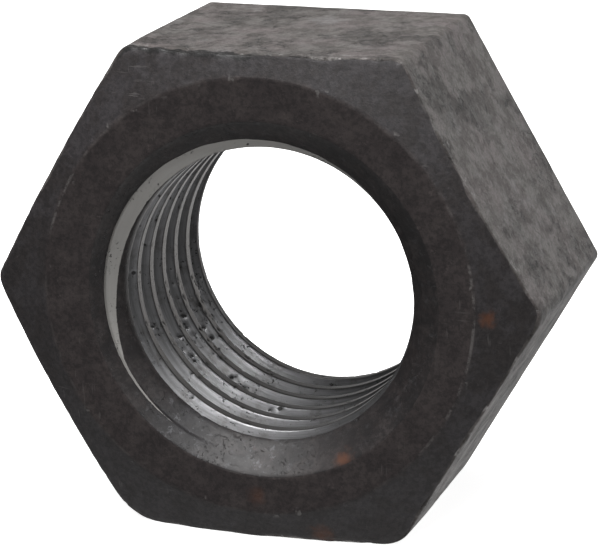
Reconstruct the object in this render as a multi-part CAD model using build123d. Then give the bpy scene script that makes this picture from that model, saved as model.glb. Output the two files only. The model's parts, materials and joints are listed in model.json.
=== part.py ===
from build123d import *
from build123d.topology import SkipClean
from math import radians, tan
import os

# Hexagon nut, 1-1/2 - 6 UNC, chamfered on the front face and flat on the back.
# Thread axis along Y, front face towards -Y, a wrench flat facing +Z,
# corners on the X axis, origin on the thread axis halfway through the nut.

INCH = 25.4

# Hexagon
FLAT_COUNT = 6
ACROSS_FLATS = 2.25 * INCH
THICKNESS = 1.28125 * INCH
ARRIS_RADIUS = 1.0
BACK_EDGE_RADIUS = 0.5

# Front chamfer
BEARING_DIAMETER = 51.2
CHAMFER_ANGLE = 21.0

# Thread, with the minor and pitch diameters near the upper limits of class 2B
MAJOR_DIAMETER = 1.5 * INCH
PITCH = INCH / 6
MINOR_DIAMETER = 1.35 * INCH
ROOT_WIDTH = 0.16 * PITCH
FLANK_ANGLE = 30.0
GROOVE_OFFSET = 0.885 * PITCH
GROOVE_TURNS_BELOW = 5
GROOVE_TURNS = 9
GROOVE_OVERCUT = 0.3

# Countersinks, as angles from the thread axis
FRONT_MOUTH_DIAMETER = 41.5
FRONT_MOUTH_ANGLE = 45.0
BACK_MOUTH_DIAMETER = 39.4
BACK_MOUTH_ANGLE = 45.0

# The bore and its thread are cut in equal sectors, so every wall face is a short arc.
SECTORS = 6

# How far every cutting shape reaches past the surface it opens
CLEARANCE = 1.0

HALF = THICKNESS / 2
MINOR_RADIUS = MINOR_DIAMETER / 2
MAJOR_RADIUS = MAJOR_DIAMETER / 2


def tangent(degrees):
    """Slope of a line leaning by an angle in degrees."""
    return tan(radians(degrees))


def profile_face(points):
    """Flat face in the radius-height plane from (radius, height) points."""
    return make_face(Polyline([(radius, 0, height) for radius, height in points], close=True))


def hexagon_blank():
    """Prism with eased corners and a soft edge round the back face."""
    outline = RegularPolygon(ACROSS_FLATS / 2, FLAT_COUNT, major_radius=False)
    prism = extrude(outline, HALF, both=True)
    prism = fillet(prism.edges().filter_by(Axis.Z), ARRIS_RADIUS)
    return fillet(prism.faces().sort_by(Axis.Z)[0].edges(), BACK_EDGE_RADIUS)


def chamfer_cutter():
    """Ring that turns the front corners away and leaves a round bearing face."""
    inner = BEARING_DIAMETER / 2
    outer = ACROSS_FLATS
    drop = (outer - inner) * tangent(CHAMFER_ANGLE)
    lift = CLEARANCE * tangent(CHAMFER_ANGLE)
    section = profile_face([
        (inner - CLEARANCE, HALF + lift),
        (outer, HALF - drop),
        (outer, HALF + lift),
    ])
    return revolve(section, Axis.Z)


def bore_slice():
    """One sector of the bore with both countersinks."""
    front = FRONT_MOUTH_DIAMETER / 2
    back = BACK_MOUTH_DIAMETER / 2
    front_depth = (front - MINOR_RADIUS) / tangent(FRONT_MOUTH_ANGLE)
    back_depth = (back - MINOR_RADIUS) / tangent(BACK_MOUTH_ANGLE)
    section = profile_face([
        (0, -HALF - CLEARANCE),
        (back + CLEARANCE * tangent(BACK_MOUTH_ANGLE), -HALF - CLEARANCE),
        (MINOR_RADIUS, -HALF + back_depth),
        (MINOR_RADIUS, HALF - front_depth),
        (front + CLEARANCE * tangent(FRONT_MOUTH_ANGLE), HALF + CLEARANCE),
        (0, HALF + CLEARANCE),
    ])
    return revolve(section, Axis.Z, 360 / SECTORS)


def groove_slice():
    """One sector of the thread groove, starting in the plane of the first corner."""
    root = ROOT_WIDTH / 2
    inner = MINOR_RADIUS - GROOVE_OVERCUT
    mouth = root + (MAJOR_RADIUS - inner) * tangent(FLANK_ANGLE)
    section = profile_face([
        (inner, -mouth),
        (MAJOR_RADIUS, -root),
        (MAJOR_RADIUS, root),
        (inner, mouth),
    ])
    path = Helix(PITCH, PITCH / SECTORS, MINOR_RADIUS)
    return sweep(section, path=path, is_frenet=True)


def thread_grooves():
    """The slices that follow one another up the right-hand helix."""
    first = GROOVE_OFFSET - GROOVE_TURNS_BELOW * PITCH
    slice_of_groove = groove_slice()
    return [
        Pos(0, 0, first + step * PITCH / SECTORS) * Rot(0, 0, step * 360 / SECTORS) * slice_of_groove
        for step in range(GROOVE_TURNS * SECTORS)
    ]


def hex_nut():
    """The finished nut, turned so that the thread axis lies along Y."""
    with SkipClean():
        nut = hexagon_blank() - chamfer_cutter()
        nut = nut - [place * bore_slice() for place in PolarLocations(0, SECTORS)]
        nut = nut - thread_grooves()
    return Rot(90, 0, 0) * nut


os.makedirs("parts", exist_ok=True)
nut = hex_nut()
nut.label = "hex_nut"
export_step(nut, "parts/hex_nut.step")
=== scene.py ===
import json
import math

import bmesh
import bpy
import numpy as np
from mathutils import Matrix, Vector


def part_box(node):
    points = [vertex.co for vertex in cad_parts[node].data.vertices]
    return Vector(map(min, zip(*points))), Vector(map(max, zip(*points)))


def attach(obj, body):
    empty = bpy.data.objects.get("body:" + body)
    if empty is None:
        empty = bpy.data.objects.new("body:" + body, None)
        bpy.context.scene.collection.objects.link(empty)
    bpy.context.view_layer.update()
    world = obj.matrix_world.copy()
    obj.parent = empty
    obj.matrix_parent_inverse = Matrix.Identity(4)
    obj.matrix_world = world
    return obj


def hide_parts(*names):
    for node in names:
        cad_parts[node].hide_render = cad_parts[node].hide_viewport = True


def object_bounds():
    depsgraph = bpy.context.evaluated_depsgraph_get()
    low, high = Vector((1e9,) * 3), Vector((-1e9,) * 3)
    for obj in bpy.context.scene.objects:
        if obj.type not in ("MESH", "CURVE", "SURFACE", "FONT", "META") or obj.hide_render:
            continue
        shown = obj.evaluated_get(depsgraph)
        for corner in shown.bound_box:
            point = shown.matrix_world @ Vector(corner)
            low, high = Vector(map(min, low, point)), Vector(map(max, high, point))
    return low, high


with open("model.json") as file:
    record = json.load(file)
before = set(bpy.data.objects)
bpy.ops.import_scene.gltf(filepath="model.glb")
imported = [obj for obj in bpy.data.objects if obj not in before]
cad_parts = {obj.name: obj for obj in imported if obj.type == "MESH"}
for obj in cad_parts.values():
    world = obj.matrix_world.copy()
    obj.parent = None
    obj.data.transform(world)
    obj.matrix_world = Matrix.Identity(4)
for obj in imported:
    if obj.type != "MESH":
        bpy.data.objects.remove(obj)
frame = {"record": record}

# The nut's mesh is worked out in millimetres as rings of points round the thread axis (Y).
# A point has an angle round the axis, from +X towards +Z, a radius, and a depth behind the front face.

MM = 0.001
TAU = math.tau
cad_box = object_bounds()
low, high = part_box("hex_nut")
mounts = {mount["name"]: mount for mount in frame["record"]["mounts"]}

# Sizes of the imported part
THICKNESS = (high.y - low.y) / MM
INRADIUS = high.z / MM
MINOR_RADIUS = mounts["thread"]["dims"]["r_mm"]
MAJOR_RADIUS = 19.05
PITCH = 25.4 / 6
ROOT_WIDTH = 0.16 * PITCH
FLANK_SLOPE = math.tan(math.radians(30))
CREST_HALF_WIDTH = (PITCH - ROOT_WIDTH) / 2 - (MAJOR_RADIUS - MINOR_RADIUS) * FLANK_SLOPE
FIRST_CREST_DEPTH = 3.35
FIRST_CREST_ANGLE = math.radians(240)
BEARING_RADIUS = 25.6
CHAMFER_SLOPE = math.tan(math.radians(21))
FRONT_MOUTH_RADIUS = 20.8
FRONT_MOUTH_SLOPE = 1.0
SHELF_DEPTHS = (0.0, 1.5, 2.0, 3.0)
SHELF_LIFTS = (0.0, -0.25, 0.15, 0.0)
SHELF_ANGLES = (120, 160, 240, 260)
SHELF_SHARES = (0.0, 1.0, 1.0, 0.0)
BACK_MOUTH_RADIUS = 19.7
BACK_MOUTH_SLOPE = 1.0

# Wear of the real part, in millimetres
FRONT_CORNER_RADII = (2.6, 2.2, 2.2, 2.4, 6.0, 4.0)
BACK_CORNER_RADIUS = 1.1
CORNER_FADE = 9.0
FRONT_EDGE_SOFTNESS = 0.27
FRONT_EDGE_LIMITS = (0.12, 0.7)
FRONT_EDGE_PASSES = 12
CREST_ROUNDING = 0.07
ROOT_ROUNDING = 0.1
BACK_EDGE_SOFTNESS = 0.5
MOUTH_FLARE = 0.12
MOUTH_BLEND = 0.35
MOUTH_CENTRE = (0.65, 0.15)
CHAMFER_CENTRE = (0.0, 0.45)

# Features that wear is placed by. Flats face 30, 90, ... degrees and corners lie at 0, 60, ... degrees.
HALF_SIDE = INRADIUS * math.tan(math.radians(30))
CHAMFER_MIDDLE = (BEARING_RADIUS + INRADIUS) / 2
RING_MIDDLE = (FRONT_MOUTH_RADIUS + BEARING_RADIUS) / 2
CONE_MIDDLE = (FRONT_MOUTH_RADIUS + MINOR_RADIUS) / 2
CONE_DEPTH = FRONT_MOUTH_RADIUS - CONE_MIDDLE
RIGHT_CORNER = 0
LOWER_LEFT_FLAT = 210
LOWER_LEFT_CORNER = 240
BOTTOM_FLAT = 270
LOWER_RIGHT_CORNER = 300

# Marks of wear: how many there are, the seed that draws them, and how the bore's crowd of pits spreads
EDGE_MARK_COUNT = 26
BURR_COUNT = 19
PIT_COUNT = 420
EDGE_SEED = 21
PIT_SEED = 33
PIT_SPREAD_DEGREES = 14
PIT_SPREAD_DEPTH = 5
PIT_SHADE = 6
ZONE_ROUGHNESS = (0.03, 0.07, 0.04, 0.015)

# The mesh: columns round the nut, and rings of points in each stretch of its section
COLUMNS = 720
CROWDING = 0.7
BEARING_ROWS = 14
CHAMFER_ROWS = 18
FRONT_EDGE_ROWS = 6
WALL_ROWS = 72
BACK_EDGE_ROWS = 5
BACK_ROWS = 20
LIP_DEPTHS = (0, 0.05, 0.12, 0.2, 0.3)
BORE_START = 0.4
BORE_ROWS = 300


# ---------------------------------------------------------------- random fields

def waves(points, wavelength, seed, count=20):
    """Smooth random field at points in millimetres, mostly within -1 to 1."""
    rng = np.random.default_rng(seed)
    direction = rng.normal(size=(count, 3))
    direction /= np.linalg.norm(direction, axis=1)[:, None]
    length = wavelength * rng.uniform(0.7, 1.5, count)
    shift = rng.uniform(0, TAU, count)
    total = np.zeros(points.shape[:-1])
    for k in range(count):
        total += np.cos(points @ (direction[k] * TAU / length[k]) + shift[k])
    return total * math.sqrt(2 / count) / 1.6


# ---------------------------------------------------------------- section of the nut

def column_angles():
    """Angles round the nut, closer together at the six corners."""
    step = np.arange(COLUMNS) * 6 / COLUMNS
    return (step - CROWDING * np.sin(TAU * step) / TAU) * TAU / 6


ANGLE = column_angles()


def hexagon_radius(depth):
    """Distance from the axis to the hexagon, whose corners are rounder at the front."""
    half = TAU / 12
    corner = np.round(ANGLE / (2 * half)).astype(int) % 6
    front = np.array(FRONT_CORNER_RADII)[corner]
    rounding = BACK_CORNER_RADIUS + (front - BACK_CORNER_RADIUS) * np.exp(-(depth / CORNER_FADE) ** 2)
    from_corner = np.abs((ANGLE + half) % (2 * half) - half)
    centre = (INRADIUS - rounding) / math.cos(half)
    across = centre * np.sin(from_corner)
    arc = centre * np.cos(from_corner) + np.sqrt(np.maximum(rounding ** 2 - across ** 2, 0))
    tangent = np.arctan2(rounding * math.sin(half), centre + rounding * math.cos(half))
    return np.where(from_corner < tangent, arc, INRADIUS / np.cos(half - from_corner))


def from_chamfer_circle(radius):
    """How far outside the bearing circle a point at this radius lies."""
    across = radius * np.cos(ANGLE) - CHAMFER_CENTRE[0]
    up = radius * np.sin(ANGLE) - CHAMFER_CENTRE[1]
    return np.hypot(across, up) - BEARING_RADIUS


def chamfer_depth(radius):
    """Depth of the conical chamfer at this radius."""
    return np.maximum(from_chamfer_circle(radius), 0) * CHAMFER_SLOPE


def bearing_radius():
    """Radius, at every angle, of the circle where the chamfer starts."""
    along = CHAMFER_CENTRE[0] * np.cos(ANGLE) + CHAMFER_CENTRE[1] * np.sin(ANGLE)
    offset = np.hypot(*CHAMFER_CENTRE)
    return along + np.sqrt(BEARING_RADIUS ** 2 - offset ** 2 + along ** 2)


def crest_distance(depth):
    """Distance along the axis to the nearest thread crest: right-hand helix."""
    turns = (depth - FIRST_CREST_DEPTH) / PITCH + (ANGLE - FIRST_CREST_ANGLE) / TAU
    return np.abs(turns - np.round(turns)) * PITCH


def soft_step(value, softness):
    """Value where it is positive and zero below, with the kink rounded off."""
    return softness * np.logaddexp(0, value / softness)


def thread_radius(depth):
    """Radius of the 60 degree thread with slightly rounded crests and roots."""
    rise = (crest_distance(depth) - CREST_HALF_WIDTH) / FLANK_SLOPE
    groove = MAJOR_RADIUS - MINOR_RADIUS
    lifted = soft_step(rise, CREST_ROUNDING)
    return MINOR_RADIUS + groove - soft_step(groove - lifted, ROOT_ROUNDING)


def front_mouth_radius():
    """Radius, at every angle, of the front countersink's lip, which sits a little to one side."""
    return FRONT_MOUTH_RADIUS + MOUTH_CENTRE[0] * np.cos(ANGLE) + MOUTH_CENTRE[1] * np.sin(ANGLE)


def countersink_radius(depth):
    """Radius of whichever countersink is wider, flared at its lip and blended into the hole.

    Only the lip of the front one is off centre, and it has a short shelf at its left."""
    behind = THICKNESS - depth
    lip = (front_mouth_radius() - FRONT_MOUTH_RADIUS) * np.maximum(1 - depth / SHELF_DEPTHS[1], 0)
    shelf = np.interp(depth, SHELF_DEPTHS, SHELF_LIFTS)
    shelf = shelf * np.interp(np.degrees(ANGLE), SHELF_ANGLES, SHELF_SHARES)
    front = FRONT_MOUTH_RADIUS - depth * FRONT_MOUTH_SLOPE + lip + shelf
    front = front + MOUTH_FLARE * np.exp(-depth / MOUTH_FLARE)
    back = BACK_MOUTH_RADIUS - behind * BACK_MOUTH_SLOPE + MOUTH_FLARE * np.exp(-behind / MOUTH_FLARE)
    return MINOR_RADIUS + soft_step(np.maximum(front, back) - MINOR_RADIUS, MOUTH_BLEND)


def between(start, end, count):
    """Points from start up to, but not including, end. Each is a (radius, depth) pair."""
    share = (np.arange(count) / count)[:, None, None]
    return start + (end - start) * share


def bend(start, corner, end, count):
    """Points round a soft corner, up to but not including end."""
    share = (np.arange(count) / count)[:, None, None]
    return start * (1 - share) ** 2 + corner * 2 * share * (1 - share) + end * share ** 2


def pair(radius, depth):
    """A (radius, depth) pair with a value for every column."""
    return np.array([np.broadcast_to(radius, COLUMNS), np.broadcast_to(depth, COLUMNS)], float)


def front_edge():
    """The edge between chamfer and flats, as a (radius, depth) pair."""
    depth = np.zeros(COLUMNS)
    for _ in range(FRONT_EDGE_PASSES):
        radius = hexagon_radius(depth)
        depth = chamfer_depth(radius)
    return pair(radius, depth)


def section():
    """All rings of the nut, outwards over the front, along the flats, and back through the bore.

    Returns the (radius, depth) pairs and the zone of each ring: 0 front, 1 flats, 2 back, 3 bore."""
    ring = np.stack([ANGLE * 0, np.cos(ANGLE), np.sin(ANGLE)], -1) * INRADIUS
    softness = FRONT_EDGE_SOFTNESS * (1 + 0.45 * waves(ring, 6, 11) + 0.25 * waves(ring, 1.8, 12))
    softness = np.clip(softness, *FRONT_EDGE_LIMITS)
    mouth = pair(front_mouth_radius() + MOUTH_FLARE, 0)
    circle = pair(bearing_radius(), 0)
    edge = front_edge()
    before = pair(edge[0] - softness, chamfer_depth(edge[0] - softness))
    after = pair(hexagon_radius(edge[1] + softness), edge[1] + softness)
    back_start = THICKNESS - BACK_EDGE_SOFTNESS
    back_radius = hexagon_radius(THICKNESS)
    wall_end = pair(hexagon_radius(back_start), back_start)
    back_end = pair(back_radius - BACK_EDGE_SOFTNESS, THICKNESS)
    back_mouth = pair(BACK_MOUTH_RADIUS + MOUTH_FLARE, THICKNESS)

    bearing = between(mouth, circle, BEARING_ROWS)
    chamfer = between(circle, before, CHAMFER_ROWS)
    chamfer[:, 1] = chamfer_depth(chamfer[:, 0])
    worn = bend(before, edge, after, FRONT_EDGE_ROWS)
    wall = between(after, wall_end, WALL_ROWS)
    wall[:, 0] = hexagon_radius(wall[:, 1])
    back_edge = bend(wall_end, pair(back_radius, THICKNESS), back_end, BACK_EDGE_ROWS)
    back = between(back_end, back_mouth, BACK_ROWS)

    lip = np.array(LIP_DEPTHS)
    middle = np.linspace(BORE_START, THICKNESS - BORE_START, BORE_ROWS)
    depths = np.concatenate([THICKNESS - lip, middle[::-1], lip[:0:-1]])[:, None]
    bore_radius = np.maximum(thread_radius(depths), countersink_radius(depths))
    bore = np.stack([bore_radius, np.broadcast_to(depths, bore_radius.shape)], 1)

    parts = [(bearing, 0), (chamfer, 0), (worn, 1), (wall, 1), (back_edge, 1), (back, 2), (bore, 3)]
    pairs = np.concatenate([rings for rings, _ in parts])
    zones = np.concatenate([np.full(len(rings), zone) for rings, zone in parts])
    return pairs, zones, edge


# ---------------------------------------------------------------- wear as real shape

def grid_normals(points):
    """Unit normals of a closed grid of points."""
    down = np.roll(points, -1, 0) - np.roll(points, 1, 0)
    along = np.roll(points, -1, 1) - np.roll(points, 1, 1)
    normal = np.cross(along, down)
    return normal / np.maximum(np.linalg.norm(normal, axis=-1), 1e-9)[..., None]


def on_nut(angle, radius, depth):
    """Point in millimetres from an angle in degrees, a radius and a depth."""
    turn = math.radians(angle)
    return np.array([radius * math.cos(turn), depth - THICKNESS / 2, radius * math.sin(turn)])


def dents(points, marks):
    """Sum of round dents. A mark is (centre, size, deepness), in millimetres."""
    total = np.zeros(points.shape[:-1])
    for centre, size, deepness in marks:
        gap = ((points - centre) ** 2).sum(-1) / size ** 2
        total += deepness * np.exp(-gap)
    return total


def edge_marks(edge):
    """Nicks round the front edge, and the ragged burr along the left half of the top."""
    rng = np.random.default_rng(EDGE_SEED)
    marks = []
    for _ in range(EDGE_MARK_COUNT):
        column = rng.integers(COLUMNS)
        centre = on_nut(math.degrees(ANGLE[column]), edge[0][column], edge[1][column])
        marks.append((centre, rng.uniform(0.25, 0.6), rng.uniform(0.03, 0.1)))
    for across in np.linspace(2 - HALF_SIDE, 0, BURR_COUNT):
        angle = math.degrees(math.atan2(INRADIUS, across + rng.uniform(-0.4, 0.4)))
        column = np.abs(ANGLE - math.radians(angle)).argmin()
        depth = edge[1][column] + rng.uniform(-0.1, 0.9)
        centre = on_nut(angle, edge[0][column], depth)
        marks.append((centre, rng.uniform(0.3, 0.7), rng.uniform(0.05, 0.2)))
    return marks


def bore_marks(radius, depth, zones):
    """Pits in the machined thread, half of them crowded at its lower left towards the back."""
    rng = np.random.default_rng(PIT_SEED)
    rows = np.flatnonzero(zones == 3)
    marks = []
    for number in range(PIT_COUNT):
        crowded = number % 2
        if crowded:
            angle = rng.normal(LOWER_LEFT_FLAT, PIT_SPREAD_DEGREES)
            wanted = rng.normal(THICKNESS * 2 / 3, PIT_SPREAD_DEPTH)
        else:
            angle = rng.uniform(0, 360)
            wanted = rng.uniform(3, THICKNESS - 2)
        column = np.abs(ANGLE - math.radians(angle)).argmin()
        row = rows[np.abs(depth[rows, column] - wanted).argmin()]
        centre = on_nut(math.degrees(ANGLE[column]), radius[row, column], depth[row, column])
        marks.append((centre, rng.uniform(0.13, 0.3), rng.uniform(0.05, 0.16)))
    return marks


def build_grid():
    """Points of the worn nut, the zone of every ring, and the measures its materials use."""
    pairs, zones, edge = section()
    radius, depth = pairs[:, 0], pairs[:, 1]
    points = np.stack([radius * np.cos(ANGLE), depth - THICKNESS / 2, radius * np.sin(ANGLE)], -1)
    normals = grid_normals(points)
    if (normals[0, :, 1] > 0).mean() > 0.5:
        normals = -normals
    rough = np.array(ZONE_ROUGHNESS)[zones][:, None]
    inward = rough * (1 + 0.6 * waves(points, 9, 1) + 0.3 * waves(points, 2.5, 2)) / 2
    inward += dents(points, edge_marks(edge))
    pits = dents(points, bore_marks(radius, depth, zones)) * (zones == 3)[:, None]
    inward += pits
    measures = {
        "rim": from_chamfer_circle(radius),
        "lip": radius - front_mouth_radius(),
        "edge": np.where((zones == 0)[:, None], edge[0] - radius, depth - edge[1]),
        "depth": depth,
        "machined": thread_radius(depth) - countersink_radius(depth) + 0.03,
        "crest": crest_distance(depth),
        "start": depth - FIRST_CREST_DEPTH + PITCH * (ANGLE - FIRST_CREST_ANGLE) / TAU,
        "pit": pits * PIT_SHADE,
    }
    return points - normals * inward[..., None], zones, measures


def hex_nut_piece():
    """The detailed nut as one closed mesh, with a material for each zone."""
    points, zones, measures = build_grid()
    rings = len(zones)
    index = np.arange(rings * COLUMNS).reshape(rings, COLUMNS)
    below = np.roll(index, -1, 0)
    faces = np.stack([index, np.roll(index, -1, 1), np.roll(below, -1, 1), below], -1).reshape(-1, 4)
    mesh = bpy.data.meshes.new("forged_nut")
    mesh.from_pydata((points.reshape(-1, 3) * MM).tolist(), [], faces[:, ::-1].tolist())
    mesh.polygons.foreach_set("use_smooth", np.ones(len(faces), bool))
    mesh.polygons.foreach_set("material_index", np.repeat(zones, COLUMNS).astype(np.int32))
    for name, values in measures.items():
        attribute = mesh.attributes.new(name, "FLOAT", "POINT")
        attribute.data.foreach_set("value", np.broadcast_to(values, index.shape).ravel().astype(np.float32))
    for material in (front_scale(), forged_flat(), back_scale(), threaded_bore()):
        mesh.materials.append(material)
    mesh.update()
    nut = bpy.data.objects.new("forged_nut", mesh)
    bpy.context.scene.collection.objects.link(nut)
    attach(nut, "root")
    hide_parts("hex_nut")
    return nut


# ---------------------------------------------------------------- node helpers

class Nodes:
    """Short names for the nodes of one material."""

    def __init__(self, name):
        self.material = bpy.data.materials.new(name)
        self.material.use_nodes = True
        self.tree = self.material.node_tree
        self.shader = self.tree.nodes["Principled BSDF"]
        place = self.tree.nodes.new("ShaderNodeTexCoord").outputs["Object"]
        self.place = self.vector("MULTIPLY", place, (1 / MM, 1 / MM, 1 / MM))

    def feed(self, socket, value):
        if isinstance(value, bpy.types.NodeSocket):
            self.tree.links.new(value, socket)
        else:
            socket.default_value = value

    def vector(self, operation, a, b):
        node = self.tree.nodes.new("ShaderNodeVectorMath")
        node.operation = operation
        self.feed(node.inputs[0], a)
        self.feed(node.inputs[1], b)
        return node.outputs["Value" if operation in ("DISTANCE", "LENGTH") else "Vector"]

    def math(self, operation, a, b=0.0):
        node = self.tree.nodes.new("ShaderNodeMath")
        node.operation = operation
        self.feed(node.inputs[0], a)
        self.feed(node.inputs[1], b)
        return node.outputs[0]

    def measure(self, name):
        node = self.tree.nodes.new("ShaderNodeAttribute")
        node.attribute_name = name
        return node.outputs["Fac"]

    def axis(self, name):
        """Distance from the nut's centre along X, Y or Z, in millimetres."""
        split = self.tree.nodes.new("ShaderNodeSeparateXYZ")
        self.feed(split.inputs[0], self.place)
        return split.outputs[name]

    def noise(self, per_mm, detail=3.0, roughness=0.55, stretch=(1, 1, 1), shift=(0, 0, 0), place=None):
        """Noise from 0 to 1 with that many blobs per millimetre."""
        vector = self.vector("MULTIPLY", place or self.place, stretch)
        vector = self.vector("ADD", vector, shift)
        node = self.tree.nodes.new("ShaderNodeTexNoise")
        self.feed(node.inputs["Vector"], vector)
        node.inputs["Scale"].default_value = per_mm
        node.inputs["Detail"].default_value = detail
        node.inputs["Roughness"].default_value = roughness
        return node.outputs[0]

    def ramp(self, value, start, end, low=0.0, high=1.0):
        """Value from start to end turned smoothly into low to high."""
        node = self.tree.nodes.new("ShaderNodeMapRange")
        node.interpolation_type = "SMOOTHSTEP"
        for name, number in (("From Min", start), ("From Max", end), ("To Min", low), ("To Max", high)):
            node.inputs[name].default_value = number
        self.feed(node.inputs["Value"], value)
        return node.outputs["Result"]

    def blend(self, share, a, b):
        """Colour a, turning into colour b as share goes to 1."""
        node = self.tree.nodes.new("ShaderNodeMix")
        node.data_type = "RGBA"
        self.feed(node.inputs[0], share)
        self.feed(node.inputs[6], a)
        self.feed(node.inputs[7], b)
        return node.outputs[2]

    def lerp(self, share, a, b):
        """Number a, turning into number b as share goes to 1."""
        node = self.tree.nodes.new("ShaderNodeMix")
        self.feed(node.inputs[0], share)
        self.feed(node.inputs[2], a)
        self.feed(node.inputs[3], b)
        return node.outputs[0]

    def times(self, *values):
        total = values[0]
        for value in values[1:]:
            total = self.math("MULTIPLY", total, value)
        return total

    def most(self, *values):
        total = values[0]
        for value in values[1:]:
            total = self.math("MAXIMUM", total, value)
        return total

    def spot(self, centre, size):
        """A soft round patch about a point in millimetres, with a torn outline."""
        gap = self.vector("DISTANCE", self.place, tuple(centre))
        torn = self.math("ADD", gap, self.math("MULTIPLY", self.noise(1.1, 4), size * 1.1))
        return self.ramp(torn, size * 1.35, size * 0.55)

    def bump(self, height, distance, strength=1.0, normal=None):
        node = self.tree.nodes.new("ShaderNodeBump")
        node.inputs["Strength"].default_value = strength
        node.inputs["Distance"].default_value = distance * MM
        self.feed(node.inputs["Height"], height)
        if normal is not None:
            self.feed(node.inputs["Normal"], normal)
        return node.outputs[0]

    def finish(self, colour, roughness, metallic, normal):
        self.feed(self.shader.inputs["Base Color"], colour)
        self.feed(self.shader.inputs["Roughness"], roughness)
        self.feed(self.shader.inputs["Metallic"], metallic)
        self.feed(self.shader.inputs["Normal"], normal)
        return self.material


def tone(level, red=1.0, blue=1.0):
    """A near grey of that linear level, with its red and blue scaled."""
    return (level * red, level, level * blue, 1.0)


# ---------------------------------------------------------------- materials

# Colours of the bearing ring, the chamfer cone and the back
RING_DARK = tone(0.030, 1.26, 1.0)
RING_LIGHT = tone(0.045, 1.23, 0.97)
CONE_DARK = tone(0.025, 1.2, 1.0)
CONE_LIGHT = tone(0.041, 1.12, 1.06)
# Painted shadow colour for the dark line under the top burr
FACE_BURR_SHADOW = tone(0.004, 1.1, 1.0)
PALE_SCUFF = tone(0.3, 1.05, 0.97)
RUST = (0.16, 0.052, 0.018, 1.0)
BACK_DARK = tone(0.030, 1.15, 0.98)
BACK_LIGHT = tone(0.045, 1.05, 1.02)
BACK_RUBBED = tone(0.13, 1.04, 0.98)

# Colours of the wrench flats
FLAT_GREY = tone(0.100, 1.08, 0.94)
FLAT_PINK = tone(0.102, 1.17, 0.98)
FLAT_PALE = tone(0.165, 1.03, 1.0)
FLAT_CLOUD = tone(0.048, 1.14, 0.92)
FLAT_BLOTCH = tone(0.022, 1.16, 0.9)
FLAT_SPECK = tone(0.008, 1.1, 0.95)
FLAT_WORN = tone(0.30, 1.04, 0.98)
# Painted shadow colour for the dark line under the top burr
FLAT_BURR_SHADOW = tone(0.005, 1.1, 1.0)

# Colours of the countersinks
SINK_WARM_DARK = tone(0.026, 1.22, 0.99)
SINK_WARM_LIGHT = tone(0.038, 1.18, 0.98)
# Blue pair: lighter than the warm pair, the oxide's own bluish tint plus painted light on the bottom of the
# countersink
SINK_BLUE_LIT_DARK = tone(0.03, 1.02, 1.1)
SINK_BLUE_LIT_LIGHT = tone(0.05, 0.98, 1.12)
SINK_CLOUD = tone(0.012, 1.1, 1.05)
SINK_FLECK = tone(0.17, 0.99, 1.07)
SINK_RED = (0.085, 0.03, 0.03, 1.0)

# Colours of the cut thread
STEEL_DARK = tone(0.23, 1.0, 1.02)
STEEL_LIGHT = tone(0.32, 1.0, 1.03)
TOOL_MARK = tone(0.14, 1.03, 0.98)
# Painted shade for the thread crests
CREST_PAINTED_SHADE = tone(0.085, 1.08, 0.94)
# Painted shade for the thread roots
ROOT_PAINTED_SHADE = tone(0.09, 1.1, 0.9)
STEEL_STAIN = tone(0.11, 1.08, 0.94)
FIRST_CUT_STEEL = tone(0.48, 1.03, 0.95)
PIT_DIRT = tone(0.012, 1.1, 0.9)

SCALE_SPECULAR = 0.25
SCALE_SHEEN = 0.06
FLECK_LIFT = 2.6


def scratches(n, seed, amount=0.66):
    """Sparse fine scratches in two directions."""
    first = n.noise(1.0, 2, 0.5, stretch=(0.25, 1, 3.2), shift=(seed, 0, 0))
    second = n.noise(1.0, 2, 0.5, stretch=(2.8, 1, 0.3), shift=(0, seed, 0))
    where = n.ramp(n.noise(0.12, 2, shift=(0, 0, seed)), 0.5, 0.7)
    return n.times(n.ramp(n.most(first, second), amount, amount + 0.08), where)


def scale_colour(n, dark, light):
    """Dark oxide with soft mottling and fine grain."""
    mottled = n.ramp(n.noise(0.3, 8, 0.75), 0.42, 0.6)
    grain = n.ramp(n.noise(1.7, 5, 0.75, shift=(7, 0, 0)), 0.42, 0.6)
    flecks = n.ramp(n.noise(0.9, 6, 0.8, shift=(0, 7, 7)), 0.6, 0.68)
    colour = n.blend(mottled, dark, light)
    colour = n.blend(grain, colour, n.vector("MULTIPLY", colour, (0.6, 0.6, 0.61)))
    pale = tuple(channel * FLECK_LIFT for channel in light[:3]) + (1.0,)
    return n.blend(n.times(flecks, 0.3), colour, pale)


def near_top_edge(n):
    """1 close to the top of the nut, fading to 0 a little below it."""
    return n.ramp(n.axis("Z"), INRADIUS - 4, INRADIUS - 2)


def burr_painted_shadow(n, edge):
    """Painted shadow: a ragged dark line under the burr on the left half of the top front edge."""
    from_middle = n.math("ABSOLUTE", n.math("ADD", n.axis("X"), HALF_SIDE / 2))
    along = n.ramp(from_middle, HALF_SIDE / 2 + 1.5, HALF_SIDE / 2 - 1)
    wander = n.math("MULTIPLY", n.math("SUBTRACT", n.noise(0.6, 5, 0.7), 0.5), 1.8)
    line = n.ramp(n.math("ADD", edge, wander), 0.85, 0.45)
    return n.times(line, along, near_top_edge(n))


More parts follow.
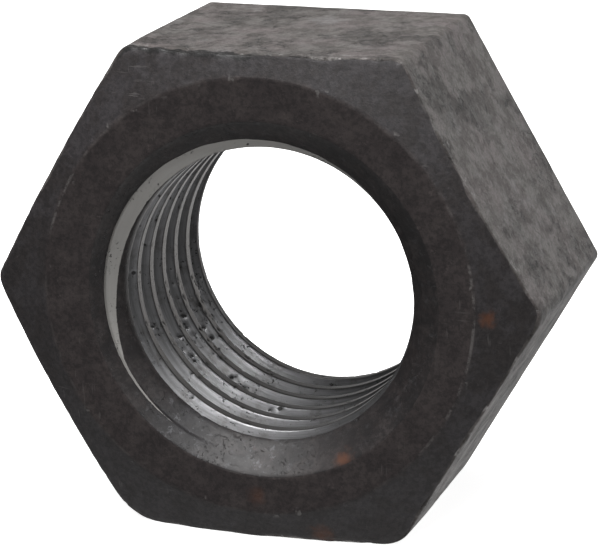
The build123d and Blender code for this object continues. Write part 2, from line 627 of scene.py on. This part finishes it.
def front_scale():
    """Bearing face and chamfer: smooth dark oxide, browner on the ring, with scuffs, rust and a painted
    shadow under the top burr.
    """
    n = Nodes("front_scale")
    rim, edge, lip = n.measure("rim"), n.measure("edge"), n.measure("lip")
    wander = n.math("MULTIPLY", n.math("SUBTRACT", n.noise(0.5, 3), 0.5), 0.9)
    outside = n.ramp(n.math("ADD", rim, wander), -0.15, 0.5)
    ring = scale_colour(n, RING_DARK, RING_LIGHT)
    cone = scale_colour(n, CONE_DARK, CONE_LIGHT)
    colour = n.blend(outside, ring, cone)
    around_rim = n.ramp(n.math("ABSOLUTE", rim), 0.24, 0.06)
    rubbed_arc = n.ramp(n.noise(0.045, 2, shift=(3, 0, 8)), 0.42, 0.58, 0.2, 1.0)
    circle_scuff = n.times(around_rim, rubbed_arc, n.ramp(n.noise(0.4, 7, 0.8), 0.46, 0.58))
    knocks = n.ramp(n.noise(0.34, 3, 0.6, shift=(9, 0, 1)), 0.62, 0.66)
    knocks = n.times(knocks, n.ramp(n.math("ABSOLUTE", rim), 0.8, 0.2))
    around_lip = n.ramp(n.math("ABSOLUTE", lip), 0.4, 0.05)
    lip_scuff = n.times(around_lip, n.ramp(n.noise(0.5, 6, 0.75, shift=(3, 0, 9)), 0.55, 0.68))
    near_edge = n.ramp(edge, 0.4, 0.03)
    edge_scuff = n.times(near_edge, n.ramp(n.noise(0.4, 7, 0.8, shift=(0, 5, 2)), 0.52, 0.66))
    # Painted shadow: dark line under the burr on the top front edge
    colour = n.blend(n.times(burr_painted_shadow(n, edge), 0.9), colour, FACE_BURR_SHADOW)
    lines = n.times(scratches(n, 4.0), 0.5)
    scuffs = n.most(
        n.times(circle_scuff, 0.5),
        n.times(lip_scuff, 0.3),
        n.times(edge_scuff, 0.25),
        n.times(lines, 0.5),
        n.times(knocks, 0.55),
    )
    colour = n.blend(n.times(scuffs, 0.75), colour, PALE_SCUFF)
    stain = n.most(
        n.times(n.spot(on_nut(RIGHT_CORNER, CHAMFER_MIDDLE, 0.5), 1.8), 0.6),
        n.times(n.spot(on_nut((BOTTOM_FLAT + LOWER_RIGHT_CORNER) / 2, INRADIUS, 1.2), 2.6), 0.5),
        n.times(n.spot(on_nut(BOTTOM_FLAT, RING_MIDDLE, 0.0), 1.9), 0.25),
    )
    colour = n.blend(stain, colour, RUST)
    rough = n.lerp(n.noise(0.8, 4), 0.44, 0.64)
    rough = n.lerp(scuffs, rough, 0.38)
    height = n.math("ADD", n.noise(1.3, 5, 0.6), n.times(n.noise(5.0, 2), 0.3))
    normal = n.bump(height, 0.05)
    normal = n.bump(n.math("SUBTRACT", 1.0, scuffs), 0.02, 1.0, normal)
    return n.finish(colour, rough, n.times(scuffs, 0.5), normal)


def forged_flat():
    """Wrench flats: warm grey scale with dark blotches, fine specks, a rubbed edge and a painted shadow
    under the top burr.
    """
    n = Nodes("forged_flat")
    edge = n.measure("edge")
    along = (1, 0.75, 1)
    blotch = n.ramp(n.noise(0.15, 8, 0.72, along, (11, 4, 3)), 0.5, 0.6)
    cloudy = n.ramp(n.noise(0.45, 7, 0.75, along, (4, 0, 0)), 0.42, 0.6)
    grain = n.ramp(n.noise(2.2, 4, 0.75, along, (0, 6, 0)), 0.4, 0.62)
    streaked = n.ramp(n.noise(0.085, 7, 0.7, (1, 0.6, 1), (2, 9, 5)), 0.5, 0.58)
    blotch = n.most(n.times(blotch, 0.8), n.times(streaked, 0.9))
    speck_here = n.ramp(blotch, 0.1, 0.7, 0.25, 1.0)
    specks = n.times(n.ramp(n.noise(1.1, 5, 0.75, along, (0, 3, 0)), 0.53, 0.59), speck_here)
    pale = n.ramp(n.noise(0.2, 5, 0.65, along, (6, 2, 6)), 0.54, 0.72)
    pink = n.ramp(n.noise(0.22, 3, 0.5, shift=(0, 0, 6)), 0.35, 0.7)
    colour = n.blend(pink, FLAT_GREY, FLAT_PINK)
    colour = n.blend(n.times(pale, 0.6), colour, FLAT_PALE)
    colour = n.blend(n.times(cloudy, 0.65), colour, FLAT_CLOUD)
    colour = n.blend(n.times(blotch, 0.7), colour, FLAT_BLOTCH)
    colour = n.blend(n.times(specks, 0.7), colour, FLAT_SPECK)
    colour = n.blend(n.times(grain, 0.5), colour, n.vector("MULTIPLY", colour, (0.55, 0.55, 0.56)))
    rubbed = n.ramp(n.noise(0.3, 8, 0.78, shift=(0, 9, 0)), 0.52, 0.66)
    nicks = n.times(n.ramp(edge, 2.2, 0.8), n.ramp(n.noise(0.5, 5, 0.7, shift=(4, 4, 0)), 0.58, 0.64))
    worn = n.most(n.times(n.ramp(edge, 0.7, 0.1), rubbed, 0.7), n.times(nicks, 0.9))
    colour = n.blend(n.times(worn, 0.8), colour, FLAT_WORN)
    # Painted shadow: dark line under the burr on the top front edge
    colour = n.blend(n.times(burr_painted_shadow(n, edge), 0.9), colour, FLAT_BURR_SHADOW)
    rough = n.lerp(cloudy, 0.52, 0.7)
    rough = n.lerp(worn, rough, 0.4)
    height = n.math("SUBTRACT", n.times(n.noise(1.4, 7, 0.72), 1.1), n.times(specks, 0.5))
    normal = n.bump(height, 0.09)
    normal = n.bump(n.noise(5.5, 2, 0.5), 0.02, 1.0, normal)
    n.shader.inputs["Specular IOR Level"].default_value = SCALE_SPECULAR
    n.shader.inputs["Sheen Weight"].default_value = SCALE_SHEEN
    n.shader.inputs["Sheen Roughness"].default_value = 0.35
    return n.finish(colour, rough, n.lerp(worn, 0.0, 0.8), normal)


def back_scale():
    """Plain back face: dark oxide rubbed lighter in places."""
    n = Nodes("back_scale")
    colour = scale_colour(n, BACK_DARK, BACK_LIGHT)
    rubbed = n.ramp(n.noise(0.28, 6, 0.7, shift=(0, 8, 1)), 0.52, 0.72)
    lines = scratches(n, 9.0, 0.62)
    rubbed = n.most(n.times(rubbed, 0.4), n.times(lines, 0.8))
    colour = n.blend(rubbed, colour, BACK_RUBBED)
    rough = n.lerp(n.noise(0.8, 4), 0.44, 0.64)
    height = n.math("ADD", n.noise(1.1, 5, 0.6), n.times(n.noise(5.0, 2), 0.3))
    return n.finish(colour, rough, n.times(rubbed, 0.6), n.bump(height, 0.05))


def along_thread(n, crest):
    """A place that runs with the cutting marks: fine across the thread and long round it."""
    along = n.tree.nodes.new("ShaderNodeCombineXYZ")
    split = n.tree.nodes.new("ShaderNodeSeparateXYZ")
    n.feed(split.inputs[0], n.place)
    n.feed(along.inputs["X"], n.math("MULTIPLY", split.outputs["X"], 0.25))
    n.feed(along.inputs["Y"], n.math("MULTIPLY", crest, 12.0))
    n.feed(along.inputs["Z"], n.math("MULTIPLY", split.outputs["Z"], 0.25))
    return along.outputs[0]


def countersink_oxide(n):
    """Dark countersink with pale and reddish flecks and a rust streak, lighter blue-grey at its bottom:
    partly its own bluish tint, partly painted light from above.
    """
    # Lighter blue-grey patch at the bottom of the countersink: its own bluish tint plus painted light where
    # light from above falls
    blue = n.spot(on_nut(LOWER_LEFT_CORNER, CONE_MIDDLE, CONE_DEPTH), 9)
    warm = scale_colour(n, SINK_WARM_DARK, SINK_WARM_LIGHT)
    oxide = n.blend(n.times(blue, 0.6), warm, scale_colour(n, SINK_BLUE_LIT_DARK, SINK_BLUE_LIT_LIGHT))
    cloud = n.ramp(n.noise(0.35, 7, 0.75, shift=(1, 6, 2)), 0.44, 0.58)
    oxide = n.blend(n.times(cloud, 0.7), oxide, SINK_CLOUD)
    fleck = n.ramp(n.noise(0.8, 6, 0.8, shift=(8, 1, 0)), 0.55, 0.64)
    fleck_here = n.most(blue, n.spot(on_nut(BOTTOM_FLAT, CONE_MIDDLE, CONE_DEPTH), 7))
    fleck = n.times(fleck, n.lerp(fleck_here, 0.12, 0.6))
    oxide = n.blend(fleck, oxide, SINK_FLECK)
    red_here = n.spot(on_nut(BOTTOM_FLAT, CONE_MIDDLE, CONE_DEPTH), 3.4)
    red = n.times(n.ramp(n.noise(0.9, 5, 0.75, shift=(2, 1, 7)), 0.54, 0.66), red_here)
    oxide = n.blend(n.times(red, 0.5), oxide, SINK_RED)
    streak = n.spot(on_nut(LOWER_RIGHT_CORNER, FRONT_MOUTH_RADIUS, 0.5), 2.2)
    return n.blend(n.times(streak, 0.55), oxide, RUST)


def threaded_bore():
    """Bright cut thread with painted shade on its crests and in its roots, and the dark countersinks it
    breaks into.
    """
    n = Nodes("threaded_bore")
    machined, crest = n.measure("machined"), n.measure("crest")
    torn = n.math("MULTIPLY", n.math("SUBTRACT", n.noise(1.6, 4, 0.65), 0.5), 0.07)
    bright = n.ramp(n.math("ADD", machined, torn), 0.0, 0.03)

    place = along_thread(n, crest)
    tool = n.noise(0.35, 4, 0.6, place=place)
    fine_tool = n.noise(0.8, 3, 0.7, stretch=(1, 2.2, 1), place=place)
    steel = n.blend(n.ramp(tool, 0.36, 0.62), STEEL_DARK, STEEL_LIGHT)
    steel = n.blend(n.times(n.ramp(fine_tool, 0.5, 0.72), 0.35), steel, TOOL_MARK)
    # Painted shade: the crest strips darker than the flanks, standing in for the darker reflection they
    # show
    crest_shade_strip = n.ramp(crest, CREST_HALF_WIDTH + 0.05, CREST_HALF_WIDTH - 0.05)
    steel = n.blend(n.times(crest_shade_strip, 0.85), steel, CREST_PAINTED_SHADE)
    # Painted shade: darker in the root of each groove
    root = n.ramp(crest, PITCH / 2 - 0.42, PITCH / 2 - 0.2)
    steel = n.blend(n.times(root, 0.5), steel, ROOT_PAINTED_SHADE)
    stain = n.ramp(n.noise(0.3, 6, 0.7, shift=(0, 0, 2)), 0.48, 0.66)
    steel = n.blend(n.times(stain, 0.5), steel, STEEL_STAIN)
    first_cut = n.ramp(n.measure("start"), -0.2, -0.6)
    steel = n.blend(n.times(first_cut, 0.8), steel, FIRST_CUT_STEEL)
    specks = n.ramp(n.noise(2.4, 4, 0.72, shift=(5, 0, 0)), 0.585, 0.64)
    specks = n.times(specks, n.ramp(n.noise(0.25, 4, 0.6, shift=(1, 2, 3)), 0.44, 0.6))
    soiled = n.most(specks, n.ramp(n.measure("pit"), 0.2, 0.5))
    steel = n.blend(n.times(soiled, 0.92), steel, PIT_DIRT)

    colour = n.blend(bright, countersink_oxide(n), steel)
    clean = n.times(bright, n.math("SUBTRACT", 1.0, soiled))
    metal = n.times(clean, n.lerp(first_cut, 1.0, 0.35))
    steel_rough = n.lerp(n.ramp(fine_tool, 0.35, 0.7), 0.36, 0.5)
    rough = n.lerp(clean, n.lerp(n.noise(0.9, 4), 0.42, 0.6), n.lerp(first_cut, steel_rough, 0.55))
    tooled = n.math("ADD", n.times(tool, 0.5), n.times(fine_tool, 0.5))
    normal = n.bump(n.lerp(bright, n.noise(1.4, 5, 0.65), tooled), 0.016)
    normal = n.bump(n.math("SUBTRACT", 1.0, specks), 0.05, 1.0, normal)
    return n.finish(colour, rough, metal, normal)


def pale_floor():
    """Even off-white studio floor with a trace of grain, bright enough to keep its shadows faint."""
    n = Nodes("pale_floor")
    colour = n.blend(n.noise(0.02, 3), tone(0.86), tone(0.9))
    n.feed(n.shader.inputs["Emission Color"], colour)
    n.shader.inputs["Emission Strength"].default_value = FLOOR_GLOW
    return n.finish(colour, 0.9, 0.0, n.bump(n.noise(0.6, 2), 0.02))


# ---------------------------------------------------------------- studio

FLOOR_WIDTH = 6.0
FLOOR_GRID = 12
FLOOR_GLOW = 1.0
GLOW_TOWARDS = (0.25, 0.6, -0.76)
GLOW_SPAN = (-0.15, 0.85)
GLOW_STRENGTH = (0.15, 1.1)


def studio_floor():
    """A wide level floor that the nut stands on."""
    mesh = bpy.data.meshes.new("studio_floor")
    shape = bmesh.new()
    bmesh.ops.create_grid(shape, x_segments=FLOOR_GRID, y_segments=FLOOR_GRID, size=FLOOR_WIDTH / 2)
    shape.to_mesh(mesh)
    shape.free()
    mesh.materials.append(pale_floor())
    floor = bpy.data.objects.new("studio_floor", mesh)
    floor.location.z = cad_box[0][2]
    floor.visible_glossy = False
    floor.visible_diffuse = False
    bpy.context.scene.collection.objects.link(floor)


def direction_from(azimuth, elevation):
    """Unit vector from the nut towards that azimuth and elevation, in degrees."""
    turn, rise = math.radians(azimuth), math.radians(elevation)
    across = math.cos(rise)
    return Vector((math.sin(turn) * across, -math.cos(turn) * across, math.sin(rise)))


def softbox(name, azimuth, elevation, distance, size, power):
    """A rectangular soft light facing the nut. Azimuth 0 is in front, and positive is to the right."""
    light = bpy.data.lights.new(name, "AREA")
    light.shape = "RECTANGLE"
    light.size, light.size_y = size
    light.energy = power
    lamp = bpy.data.objects.new(name, light)
    away = direction_from(azimuth, elevation)
    lamp.location = away * distance
    lamp.rotation_euler = (-away).to_track_quat("-Z", "Y").to_euler()
    bpy.context.scene.collection.objects.link(lamp)


def studio_world():
    """Soft surroundings: bright low down behind the nut, dim in front of it and overhead."""
    world = bpy.data.worlds.new("studio")
    bpy.context.scene.world = world
    world.use_nodes = True
    tree = world.node_tree
    direction = tree.nodes.new("ShaderNodeTexCoord").outputs["Generated"]
    towards = tree.nodes.new("ShaderNodeVectorMath")
    towards.operation = "DOT_PRODUCT"
    towards.inputs[1].default_value = GLOW_TOWARDS
    tree.links.new(direction, towards.inputs[0])
    ramp = tree.nodes.new("ShaderNodeMapRange")
    ramp.interpolation_type = "SMOOTHSTEP"
    ramp.inputs["From Min"].default_value = GLOW_SPAN[0]
    ramp.inputs["From Max"].default_value = GLOW_SPAN[1]
    ramp.inputs["To Min"].default_value = GLOW_STRENGTH[0]
    ramp.inputs["To Max"].default_value = GLOW_STRENGTH[1]
    tree.links.new(towards.outputs["Value"], ramp.inputs["Value"])
    background = tree.nodes["Background"]
    tree.links.new(ramp.outputs["Result"], background.inputs["Strength"])
    background.inputs["Color"].default_value = (1.0, 1.0, 1.0, 1.0)


CAMERA_AZIMUTH = 17.68
CAMERA_ELEVATION = 15.03
CAMERA_ROLL = -0.425
CAMERA_DISTANCE = 0.34625
CAMERA_LENS = 174.9
CAMERA_SENSOR = 36.0
CAMERA_AIM = Vector((0.226, -0.082, -0.547)) * MM


def studio_camera():
    """Camera above and to the right of the front face."""
    camera = bpy.data.objects.new("camera", bpy.data.cameras.new("camera"))
    away = direction_from(CAMERA_AZIMUTH, CAMERA_ELEVATION)
    facing = (-away).to_track_quat("-Z", "Y").to_matrix()
    facing = facing @ Matrix.Rotation(math.radians(CAMERA_ROLL), 3, "Z")
    camera.matrix_world = Matrix.Translation(CAMERA_AIM + away * CAMERA_DISTANCE) @ facing.to_4x4()
    camera.data.lens = CAMERA_LENS
    camera.data.sensor_width = CAMERA_SENSOR
    bpy.context.scene.collection.objects.link(camera)
    bpy.context.scene.camera = camera


def build():
    """The whole scene."""
    studio_camera()
    studio_floor()
    studio_world()
    softbox("overhead", azimuth=-35, elevation=78, distance=0.7, size=(0.6, 0.5), power=9.2)
    softbox("right_side", azimuth=75, elevation=25, distance=0.8, size=(0.4, 0.5), power=0.2)
    softbox("front_high", azimuth=14, elevation=36, distance=0.9, size=(0.1, 0.1), power=1.1)
    hex_nut_piece()
    bpy.context.scene.view_settings.view_transform = "Standard"


build()
